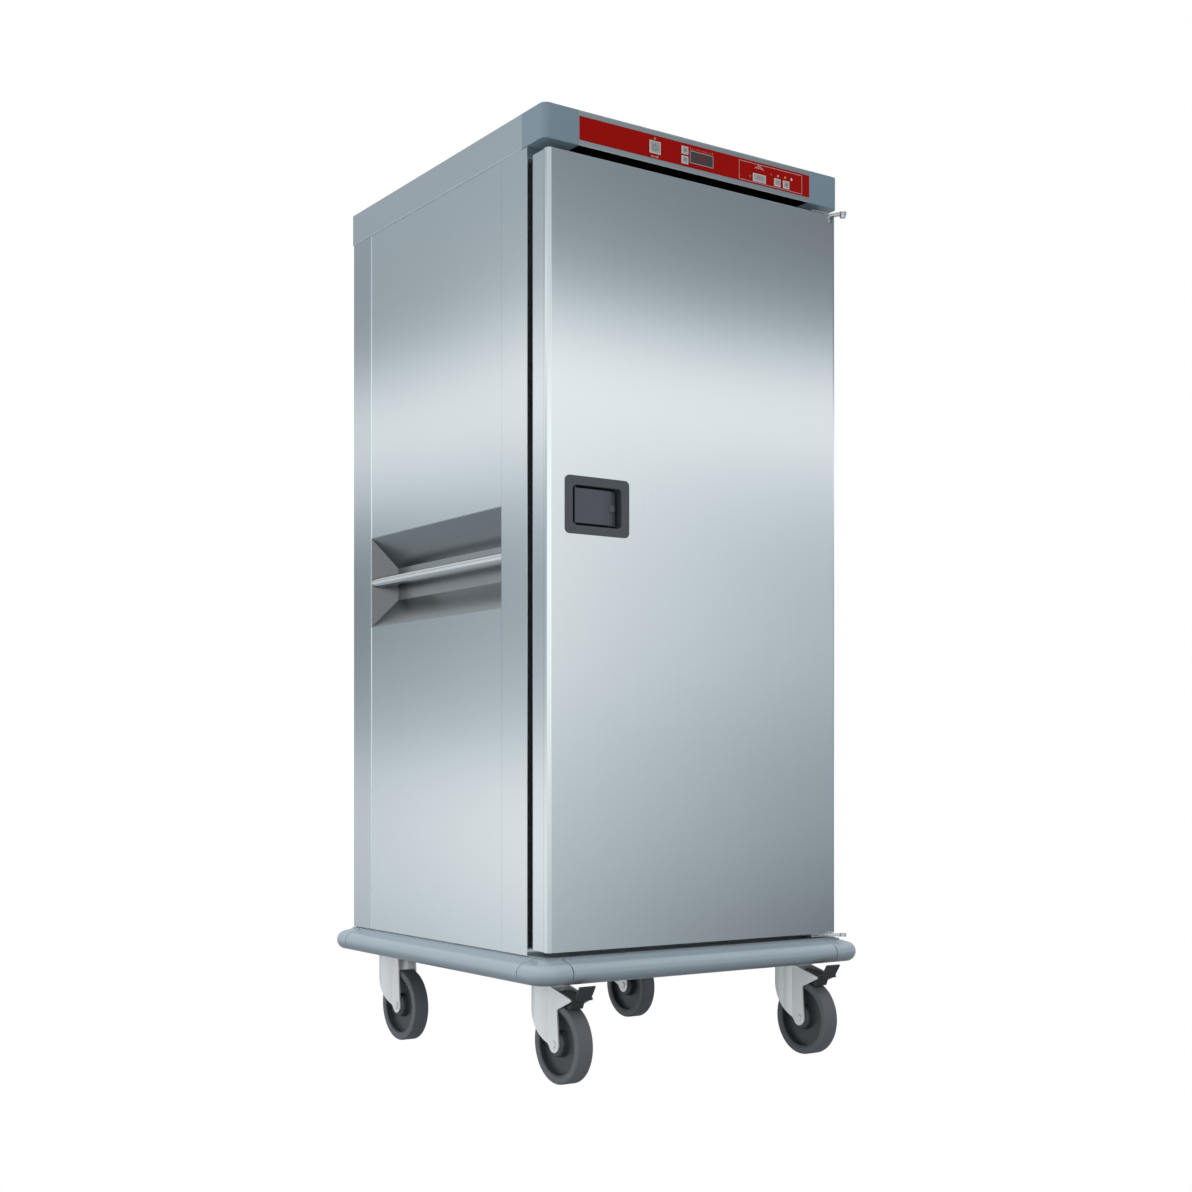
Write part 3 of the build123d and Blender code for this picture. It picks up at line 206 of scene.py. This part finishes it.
def make_world():
    """White to the camera. Metal sees soft boxes and flags, which lean as they run past the cart, and matt
    surfaces get a soft light that is strongest from the left."""
    world = bpy.data.worlds.new("studio")
    bpy.context.scene.world = world
    world.use_nodes = True
    world.cycles.sampling_method = "NONE"
    graph = Graph(world.node_tree)
    graph.tree.nodes.clear()
    split = graph.node("SeparateXYZ")
    graph.link(graph.node("TexCoord").outputs["Generated"], split.inputs[0])
    x, y, z = split.outputs
    front_height = graph.math("MULTIPLY", z, graph.spread(x, *FRONT_LEAN))
    back_height = graph.math("MULTIPLY", z, graph.spread(x, *BACK_LEAN))
    front = graph.blend(graph.spread(x, *DOOR_ENDS_X), room_ramp(graph, front_height, DOOR_LEFT_ROOM),
                        room_ramp(graph, front_height, DOOR_RIGHT_ROOM))
    front = graph.blend(graph.spread(x, *LEFT_ROOM_X, interpolation="SMOOTHSTEP"), front,
                        room_ramp(graph, z, LEFT_ROOM))
    back = graph.blend(graph.spread(x, *SIDE_ENDS_X), room_ramp(graph, back_height, SIDE_FRONT_ROOM),
                       room_ramp(graph, back_height, SIDE_REAR_ROOM))
    room = graph.node("Background")
    room.inputs["Strength"].default_value = ROOM_GAIN
    turned = graph.spread(y, *FRONT_TO_BACK_Y, interpolation="SMOOTHSTEP")
    graph.link(graph.blend(turned, front, back), room.inputs["Color"])
    from_left = graph.spread(x, -1.0, 0.0, FILL_LEFT, 0.0)
    from_right = graph.spread(x, 0.0, 1.0, 0.0, FILL_RIGHT)
    from_sides = graph.math("ADD", from_left, from_right)
    from_above = graph.math("ADD", graph.math("MULTIPLY", z, FILL_RISE), FILL_HORIZON)
    fill = graph.node("Background")
    graph.link(graph.math("ADD", from_sides, from_above), fill.inputs["Strength"])
    fill.inputs["Color"].default_value = WHITE
    backdrop = graph.node("Background")
    backdrop.inputs["Color"].default_value = WHITE
    path = graph.node("LightPath")
    lit = graph.node("MixShader")
    graph.link(path.outputs["Is Diffuse Ray"], lit.inputs[0])
    graph.link(room.outputs[0], lit.inputs[1])
    graph.link(fill.outputs[0], lit.inputs[2])
    seen = graph.node("MixShader")
    graph.link(path.outputs["Is Camera Ray"], seen.inputs[0])
    graph.link(lit.outputs[0], seen.inputs[1])
    graph.link(backdrop.outputs[0], seen.inputs[2])
    graph.link(seen.outputs[0], graph.node("OutputWorld").inputs[0])


# Materials

class Paint(Graph):
    """A material with one Principled shader."""

    def __init__(self, name):
        self.material = bpy.data.materials.new(name)
        self.material.use_nodes = True
        super().__init__(self.material.node_tree)
        self.shader = self.tree.nodes["Principled BSDF"]
        self.place = None

    def set(self, name, value):
        self.shader.inputs[name].default_value = value

    def position(self, scale=(1, 1, 1)):
        """The place on the part in metres, stretched by scale."""
        if self.place is None:
            self.place = self.node("TexCoord").outputs["Object"]
        mapping = self.node("Mapping")
        mapping.inputs["Scale"].default_value = scale
        self.link(self.place, mapping.inputs["Vector"])
        return mapping.outputs["Vector"]

    def noise(self, scale, stretch=(1, 1, 1), detail=4.0, roughness=0.55):
        texture = self.node("TexNoise")
        texture.inputs["Scale"].default_value = scale
        texture.inputs["Detail"].default_value = detail
        texture.inputs["Roughness"].default_value = roughness
        self.link(self.position(stretch), texture.inputs["Vector"])
        return texture.outputs["Fac"]

    def band(self, axis, start, end):
        """1 where the place along one axis lies between two values in metres."""
        split = self.node("SeparateXYZ")
        self.link(self.position(), split.inputs[0])
        off = self.math("SUBTRACT", split.outputs[axis], (start + end) / 2)
        return self.math("LESS_THAN", self.math("ABSOLUTE", off), (end - start) / 2)

    def bump(self, height, distance, strength=1.0, under=None):
        bump = self.node("Bump")
        bump.inputs["Distance"].default_value = distance
        bump.inputs["Strength"].default_value = strength
        self.link(height, bump.inputs["Height"])
        if under is not None:
            self.link(under, bump.inputs["Normal"])
        self.link(bump.outputs[0], self.shader.inputs["Normal"])
        return bump.outputs[0]

    def soft_edges(self, radius):
        """Catches the light on every edge, as a small rounding does."""
        bevel = self.node("Bevel", samples=4)
        bevel.inputs["Radius"].default_value = radius
        self.link(bevel.outputs[0], self.shader.inputs["Normal"])
        return bevel.outputs[0]


# Brushed sheet: noise cells per metre across and along the grain, its depth and the sheet's edge rounding in mm
GRAIN_ACROSS = 1400
GRAIN_ALONG = 5
GRAIN_DEPTH = 0.002
CLOUD_SCALE = 1.9
SHEET_EDGE = 0.6
BUMP_STRENGTH = 0.5
# A face counts as lying, or as an end wall, from this share of its normal along Z, or along Y
LYING_FROM = 0.7
END_WALL_FROM = 0.5


def brushed_steel(name, tint=STEEL_TINT, roughness=0.125, anisotropy=0.65, bands=(), ends=1.0):
    """Stainless sheet with a fine grain, up the walls and across what lies flat, and faint cloudy stains. A band
    is (axis, start, end, factor): painted highlight on a stretch of the sheet where the factor is above 1,
    painted shade where it is below. Ends is the share of the colour that walls facing along Y keep: painted shade
    on those walls."""
    paint = Paint(name)
    paint.set("Metallic", 1.0)
    facing = paint.node("SeparateXYZ")
    paint.link(paint.node("NewGeometry").outputs["Normal"], facing.inputs[0])
    lying = paint.math("GREATER_THAN", paint.math("ABSOLUTE", facing.outputs["Z"]), LYING_FROM)
    up_grain = paint.noise(1.0, (GRAIN_ACROSS, GRAIN_ACROSS, GRAIN_ALONG), detail=3.0)
    flat_grain = paint.noise(1.0, (GRAIN_ALONG, GRAIN_ACROSS, GRAIN_ACROSS), detail=3.0)
    grain = paint.blend(lying, up_grain, flat_grain)
    clouds = paint.noise(CLOUD_SCALE, detail=3.0)
    light = tuple(min(1.0, c * 1.02) for c in tint)
    dark = tuple(c * 0.97 for c in tint)
    colour = paint.blend(grain, dark, light)
    clouded = paint.ramp(clouds, ((0.3, 0.975), (0.7, 1.0)))
    colour = paint.blend(1.0, colour, clouded, "MULTIPLY")
    # painted highlights and painted shade, band by band
    for axis, start, end, factor in bands:
        colour = paint.blend(paint.band(axis, start, end), colour, (factor,) * 3, "MULTIPLY")
    # painted shade on the walls that face along Y
    if ends != 1.0:
        at_end = paint.math("GREATER_THAN", paint.math("ABSOLUTE", facing.outputs["Y"]), END_WALL_FROM)
        colour = paint.blend(at_end, colour, (ends,) * 3, "MULTIPLY")
    paint.link(colour, paint.shader.inputs["Base Color"])
    paint.link(paint.ramp(grain, ((0.2, roughness * 0.93), (0.8, roughness * 1.07))),
               paint.shader.inputs["Roughness"])
    paint.set("Anisotropic", anisotropy)
    tangent = paint.node("Tangent", direction_type="RADIAL", axis="Z")
    paint.link(tangent.outputs[0], paint.shader.inputs["Tangent"])
    edge = paint.soft_edges(SHEET_EDGE * MM)
    paint.bump(grain, GRAIN_DEPTH * MM, BUMP_STRENGTH, under=edge)
    return paint.material


SCRATCH_STRETCH = (900, 60, 900)
SCRATCH_DEPTH = 0.01


def plain_metal(name, tint, roughness, metallic=1.0, scale=60.0, edge=0.5):
    """Plated or polished metal with a faint mottle and small scratches."""
    paint = Paint(name)
    paint.set("Metallic", metallic)
    mottle = paint.noise(scale, detail=5.0)
    dark = tuple(c * 0.9 for c in tint)
    paint.link(paint.blend(mottle, dark, tint), paint.shader.inputs["Base Color"])
    paint.link(paint.ramp(mottle, ((0.25, roughness * 0.85), (0.75, roughness * 1.15))),
               paint.shader.inputs["Roughness"])
    normal = paint.soft_edges(edge * MM)
    scratches = paint.noise(1.0, SCRATCH_STRETCH, detail=2.0)
    paint.bump(scratches, SCRATCH_DEPTH * MM, BUMP_STRENGTH, under=normal)
    return paint.material


PATCH_SCALE = 9.0
COAT_ROUGHNESS = 0.18


def moulded(name, tint, roughness, grain=1800.0, depth=0.02, coat=0.0, edge=0.6, wear=0.06, gloss=0.5,
            facing=()):
    """Moulded plastic or rubber: a fine pebbled skin, slight patchiness and softened edges. Facing pairs give the
    colour's share from faces that look down (0) to faces that look up (1): painted shade, darker below and full
    above."""
    paint = Paint(name)
    patches = paint.noise(PATCH_SCALE, detail=4.0)
    light = tuple(min(1.0, c * (1 + wear)) for c in tint)
    dark = tuple(c * (1 - wear) for c in tint)
    colour = paint.blend(patches, dark, light)
    # painted shade: the colour scaled by how far each face looks up or down
    if facing:
        looks = paint.node("SeparateXYZ")
        paint.link(paint.node("NewGeometry").outputs["Normal"], looks.inputs[0])
        shares = paint.ramp(paint.spread(looks.outputs["Z"], -1.0, 1.0), facing)
        colour = paint.blend(1.0, colour, shares, "MULTIPLY")
    paint.link(colour, paint.shader.inputs["Base Color"])
    paint.link(paint.ramp(patches, ((0.2, roughness * 0.9), (0.8, min(1.0, roughness * 1.1)))),
               paint.shader.inputs["Roughness"])
    paint.set("Specular IOR Level", gloss)
    if coat:
        paint.set("Coat Weight", coat)
        paint.set("Coat Roughness", COAT_ROUGHNESS)
    normal = paint.soft_edges(edge * MM)
    skin = paint.noise(grain, detail=2.0)
    paint.bump(skin, depth * MM, BUMP_STRENGTH, under=normal)
    return paint.material


FILM_GRAIN = 2500.0
# The bumper's painted shade by the way its faces look: darker underneath, full colour on top
BUMPER_FACING_SHADE = ((0.0, 0.25), (0.32, 0.6), (0.45, 0.72), (0.56, 0.85), (0.75, 1.0), (1.0, 1.0))


def make_materials():
    return {
        "stainless": brushed_steel("stainless"),
        "polished_steel": plain_metal("polished_steel", (0.70, 0.71, 0.72), 0.16, scale=20.0),
        "steel_frame": moulded("steel_frame", (0.30, 0.34, 0.38), 0.45, grain=700.0),
        "zinc": plain_metal("zinc", (0.80, 0.815, 0.82), 0.36, metallic=0.4),
        "aluminium": plain_metal("aluminium", (0.66, 0.67, 0.69), 0.35),
        "bumper": moulded("bumper", (0.40, 0.49, 0.56), 0.3, grain=1200.0, coat=0.4, facing=BUMPER_FACING_SHADE),
        "fascia_plastic": moulded("fascia_plastic", (0.185, 0.27, 0.335), 0.38, grain=1200.0, coat=0.15),
        "red_label": moulded("red_label", (0.36, 0.003, 0.001), 0.6, grain=FILM_GRAIN, depth=0.008, wear=0.03,
                             gloss=0.06),
        "key_white": moulded("key_white", (0.62, 0.64, 0.64), 0.4, grain=FILM_GRAIN, depth=0.01),
        "display_glass": moulded("display_glass", (0.035, 0.035, 0.04), 0.15, grain=FILM_GRAIN, depth=0.002,
                                 coat=0.5),
        "lamp_green": moulded("lamp_green", (0.10, 0.30, 0.06), 0.2, grain=2000.0, depth=0.004, coat=0.5),
        "circuit_board": moulded("circuit_board", (0.02, 0.14, 0.06), 0.4, grain=900.0),
        "black_plastic": moulded("black_plastic", (0.022, 0.024, 0.026), 0.42, grain=1500.0, depth=0.03),
        "latch_plastic": moulded("latch_plastic", (0.06, 0.072, 0.088), 0.36, grain=1500.0, depth=0.03),
        "hub_plastic": moulded("hub_plastic", (0.045, 0.052, 0.058), 0.45, grain=1300.0, depth=0.03),
        "tyre_grey": moulded("tyre_grey", (0.112, 0.12, 0.133), 0.58, grain=1100.0, depth=0.04),
        "gasket_rubber": moulded("gasket_rubber", (0.008, 0.008, 0.009), 0.6, grain=900.0, depth=0.03),
        "insulation_wool": moulded("insulation_wool", (0.55, 0.50, 0.36), 0.95, grain=220.0, depth=0.6),
        "motor_black": moulded("motor_black", (0.03, 0.03, 0.034), 0.4, grain=800.0),
        "heater_steel": plain_metal("heater_steel", (0.30, 0.25, 0.20), 0.4),
    }


# Lamps: their stretch along X in metres, and (share of it from which the colour holds, colour)
LAMPS_X = (-0.2, 0.3)
LAMP_COLOURS = ((0.0, (0.16, 0.42, 0.10)), (0.5, (0.10, 0.20, 0.03)), (0.705, (0.50, 0.06, 0.05)),
                (0.778, (0.75, 0.45, 0.42)), (0.814, (0.80, 0.35, 0.12)))


def lamp_material():
    """The lamps of the label, each in its own colour by its place along X."""
    paint = Paint("lamps")
    split = paint.node("SeparateXYZ")
    paint.link(paint.position(), split.inputs[0])
    along = paint.spread(split.outputs["X"], *LAMPS_X)
    paint.link(paint.ramp(along, LAMP_COLOURS, "CONSTANT"), paint.shader.inputs["Base Color"])
    mottle = paint.noise(900.0)
    paint.link(paint.ramp(mottle, ((0.3, 0.2), (0.7, 0.3))), paint.shader.inputs["Roughness"])
    paint.set("Coat Weight", 0.4)
    return paint.material


# Painted highlights and painted shade on sheet edges and faces, as bands: axis, from and to in metres, and the
# share of the colour
Y_AXIS = 1
Z_AXIS = 2
# painted highlight: a bright line on the seam in front of the rear post
REAR_SEAM_HIGHLIGHT = (Y_AXIS, 0.314, 0.3149, 1.45)
# painted shade over the whole rear post
REAR_POST_SHADE = (Y_AXIS, 0.3149, 0.3985, 0.88)
# painted shadow line at the front post's seam
FRONT_SEAM_SHADOW = (Y_AXIS, -0.2309, -0.230, 0.8)
# painted highlight along the cap's lower edge
CAP_EDGE_HIGHLIGHT = (Z_AXIS, 1.738, 1.7392, 1.35)
# painted shadow line at the step between door skin and pan
DOOR_SEAM_SHADOW = (Y_AXIS, -0.3713, -0.3707, 0.4)
# painted shade: the darker tint of the steel inside the handle pockets
POCKET_SHADED_TINT = (0.33, 0.345, 0.355)


def own_materials():
    """Materials of nodes that differ a little from the rest of their slot, the steel ones by painted highlights
    and painted shade.
    """
    return {
        "corner_posts": brushed_steel("post_steel", bands=(REAR_SEAM_HIGHLIGHT, REAR_POST_SHADE, FRONT_SEAM_SHADOW)),
        "top_cover": brushed_steel("cover_steel", bands=(CAP_EDGE_HIGHLIGHT,)),
        "fascia_plate": brushed_steel("plate_steel", bands=(CAP_EDGE_HIGHLIGHT,)),
        "door_skin": brushed_steel("skin_steel", bands=(DOOR_SEAM_SHADOW,)),
        # painted shade: darker steel and darker end walls inside the handle pockets
        "handle_pockets": brushed_steel("pocket_shaded_steel", POCKET_SHADED_TINT, roughness=0.28, anisotropy=0.3, ends=0.42),
        "indicator_lamps": lamp_material(),
        "latch_paddle": moulded("paddle_plastic", (0.07, 0.08, 0.10), 0.36, grain=1500.0, depth=0.03),
    }


def dress_nodes(materials, own):
    """Gives every node of the construction the material of its slot, or its own."""
    for row in frame["record"]["subparts"]:
        data = NODES[row["node"]].data
        data.materials.clear()
        data.materials.append(own.get(row["node"], materials[row["material_slot"]]))


# Prints on the control label: thin films, their outlines as (X, Z) in millimetres

FILM = 0.06
FILM_LIFT = 0.001
LABEL_FACE_Y = -382.8
KEY_FACE_Y = -384.4
DISPLAY_FACE_Y = -383.2
PEN = 0.6
ROOF_PEN = 0.7
ICON_PEN = 1.0
BOLD_PEN = 1.3
SIGN_PEN = 1.5

PANEL_FRAME = (97.9, 1751.3, 261.2, 1788.2)
DISPLAY_FRAME = (-24.6, 1757.6, 31.9, 1780.5)
# Three nested roofs over a point: half width, height and the share of each
ROOF_FOOT = (149.2, 1779.3)
ROOF_HALF_WIDTH = 12.0
ROOF_HEIGHT = 7.7
ROOF_SHARES = (1.0, 0.62, 0.28)
DROP = [(233.5, 1779.4), (231.6, 1776.2), (231.2, 1774.6), (232.0, 1773.0), (233.5, 1772.4), (235.0, 1773.0),
        (235.8, 1774.6), (235.4, 1776.2)]
# Ticks over the display: first place, pitch, count, foot, short and long top, and every which one is long
TICK_START = -23.0
TICK_PITCH = 4.5
TICK_COUNT = 13
TICK_FOOT = 1784.0
TICK_TOP = 1785.6
LONG_TICK_TOP = 1787.0
LONG_TICK_EVERY = 4
# Two digits of seven bars: left edge and the bars that are on
DIGITS = ((-6.5, "acdefg"), (6.5, "acdfg"))
DIGIT_LOW = 1764.4
DIGIT_WIDTH = 7.0
DIGIT_HEIGHT = 9.5
# Keys: centre (X, Z), width and height
POWER_KEY = (-108.75, 1769.2, 25.9, 24.0)
UP_KEY = (-37.4, 1778.5, 15.7, 15.1)
DOWN_KEY = (-37.4, 1759.9, 15.7, 15.1)
STEAM_KEY = (148.9, 1761.0, 32.6, 15.9)
LESS_KEY = (195.6, 1761.3, 16.2, 15.5)
MORE_KEY = (218.9, 1761.3, 16.2, 15.5)
KEY_INSET = 1.7
STEAM_WAVES_X = (143.4, 148.9, 154.4)
# A wave's points from its foot up: off its middle, and height
STEAM_WAVE = ((-1.0, 1757.2), (0.9, 1759.7), (-0.9, 1762.3), (1.0, 1764.8))
WORDS_PLACE = (-109.0, 1750.3)
WORDS_SIZE = 4.2


def stroke(one, two, width=PEN):
    """The outline of a straight line of a width."""
    dx, dz = two[0] - one[0], two[1] - one[1]
    share = width / 2 / math.hypot(dx, dz)
    across = (-dz * share, dx * share)
    return [(one[0] + across[0], one[1] + across[1]), (two[0] + across[0], two[1] + across[1]),
            (two[0] - across[0], two[1] - across[1]), (one[0] - across[0], one[1] - across[1])]


def path(points, width=PEN, closed=False):
    """The outlines of the straight lines through some points."""
    ends = points[1:] + (points[:1] if closed else [])
    return [stroke(one, two, width) for one, two in zip(points, ends)]


def arc(centre, radius, start, turn, steps=28):
    """Points on an arc: start and turn in degrees."""
    angles = [math.radians(start + turn * step / steps) for step in range(steps + 1)]
    return [(centre[0] + radius * math.cos(angle), centre[1] + radius * math.sin(angle)) for angle in angles]


def rectangle(left, low, right, high):
    return [(left, low), (right, low), (right, high), (left, high)]


def film(name, outlines, face_y, material, body="root"):
    """One thin print of separate convex outlines on a face that looks to the front."""
    mesh = bpy.data.meshes.new(name)
    shape = bmesh.new()
    for outline in outlines:
        corners = [[shape.verts.new((x * MM, y * MM, z * MM)) for x, z in outline]
                   for y in (face_y - FILM, face_y - FILM_LIFT)]
        shape.faces.new(corners[0])
        shape.faces.new(list(reversed(corners[1])))
        count = len(outline)
        for at in range(count):
            after = (at + 1) % count
            shape.faces.new([corners[0][at], corners[1][at], corners[1][after], corners[0][after]])
    bmesh.ops.recalc_face_normals(shape, faces=shape.faces)
    shape.to_mesh(mesh)
    shape.free()
    mesh.materials.append(material)
    thing = bpy.data.objects.new(name, mesh)
    bpy.context.scene.collection.objects.link(thing)
    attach(thing, body)
    return thing


def segment_digit(left, low, width, height, lit):
    """A digit of seven bars: lit names the bars that are on, from the top round to the middle."""
    right, high, middle = left + width, low + height, low + height / 2
    bars = {"a": ((left, high), (right, high)), "b": ((right, high), (right, middle)),
            "c": ((right, middle), (right, low)), "d": ((left, low), (right, low)),
            "e": ((left, low), (left, middle)), "f": ((left, middle), (left, high)),
            "g": ((left, middle), (right, middle))}
    return [stroke(*bars[bar], BOLD_PEN) for bar in lit]


def key_icons():
    """Each key's box and the outlines of its sign."""
    x, z = POWER_KEY[:2]
    ring = path(arc((x, z - 0.2), 5.6, 125, 290), BOLD_PEN)
    waves = [line for middle in STEAM_WAVES_X
             for line in path([(middle + off, height) for off, height in STEAM_WAVE], ICON_PEN)]
    less_x, less_z = LESS_KEY[:2]
    more_x, more_z = MORE_KEY[:2]
    return {
        "key_power": (POWER_KEY, ring + [stroke((x, z + 0.3), (x, z + 6.8), SIGN_PEN)]),
        "key_up": (UP_KEY, [[(-40.6, 1776.4), (-34.2, 1776.4), (-37.4, 1781.4)]]),
        "key_down": (DOWN_KEY, [[(-40.6, 1762.1), (-37.4, 1757.1), (-34.2, 1762.1)]]),
        "key_steam": (STEAM_KEY, waves),
        "key_less": (LESS_KEY, [stroke((less_x - 3.6, less_z), (less_x + 3.6, less_z), SIGN_PEN)]),
        "key_more": (MORE_KEY, [stroke((more_x - 3.6, more_z), (more_x - 0.8, more_z), SIGN_PEN),
                                stroke((more_x + 0.8, more_z), (more_x + 3.6, more_z), SIGN_PEN),
                                stroke((more_x, more_z - 3.6), (more_x, more_z + 3.6), SIGN_PEN)]),
    }


def add_words(ink):
    """ON / OFF under the power key."""
    words = bpy.data.curves.new("on_off_print", "FONT")
    words.body = "ON / OFF"
    words.size = WORDS_SIZE * MM
    words.extrude = FILM / 2 * MM
    words.align_x = "CENTER"
    words.materials.append(ink)
    words_object = bpy.data.objects.new("on_off_print", words)
    words_object.location = (WORDS_PLACE[0] * MM, (LABEL_FACE_Y - FILM / 2) * MM, WORDS_PLACE[1] * MM)
    words_object.rotation_euler = (math.radians(90), 0, 0)
    bpy.context.scene.collection.objects.link(words_object)
    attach(words_object, "root")


def print_ink(name, tint):
    return moulded(name, tint, 0.5, grain=FILM_GRAIN, depth=0.004, edge=0.05)


def add_prints():
    ink = print_ink("white_ink", (0.66, 0.66, 0.68))
    grey = print_ink("key_field", (0.34, 0.35, 0.36))
    dark = print_ink("dark_ink", (0.13, 0.13, 0.14))
    film("label_frame_print", path(rectangle(*PANEL_FRAME), PEN, True), LABEL_FACE_Y, ink)
    foot_x, foot_z = ROOF_FOOT
    roofs = []
    for share in ROOF_SHARES:
        half = ROOF_HALF_WIDTH * share
        roofs += path([(foot_x - half, foot_z), (foot_x, foot_z + ROOF_HEIGHT * share), (foot_x + half, foot_z)],
                      ROOF_PEN)
    film("label_roof_print", roofs, LABEL_FACE_Y, ink)
    film("label_drop_print", [DROP], LABEL_FACE_Y, ink)
    ticks = []
    for step in range(TICK_COUNT):
        x = TICK_START + TICK_PITCH * step
        ticks.append(stroke((x, TICK_FOOT), (x, TICK_TOP if step % LONG_TICK_EVERY else LONG_TICK_TOP)))
    film("label_scale_print", ticks, LABEL_FACE_Y, ink)
    film("display_frame_print", path(rectangle(*DISPLAY_FRAME), BOLD_PEN, True), DISPLAY_FACE_Y, grey)
    digits = []
    for left, lit in DIGITS:
        digits += segment_digit(left, DIGIT_LOW, DIGIT_WIDTH, DIGIT_HEIGHT, lit)
    film("display_digits_print", digits, DISPLAY_FACE_Y, MATERIALS["red_label"])
    for node, ((x, z, width, height), icon) in key_icons().items():
        half, tall = width / 2 - KEY_INSET, height / 2 - KEY_INSET
        field = rectangle(x - half, z - tall, x + half, z + tall)
        film(node + "_field_print", [field], KEY_FACE_Y, grey, node)
        film(node + "_icon_print", icon, KEY_FACE_Y - FILM, dark, node)
    add_words(ink)


make_camera()
make_floor()
make_world()
MATERIALS = make_materials()
dress_nodes(MATERIALS, own_materials())
add_prints()
bpy.context.scene.view_settings.view_transform = "Standard"
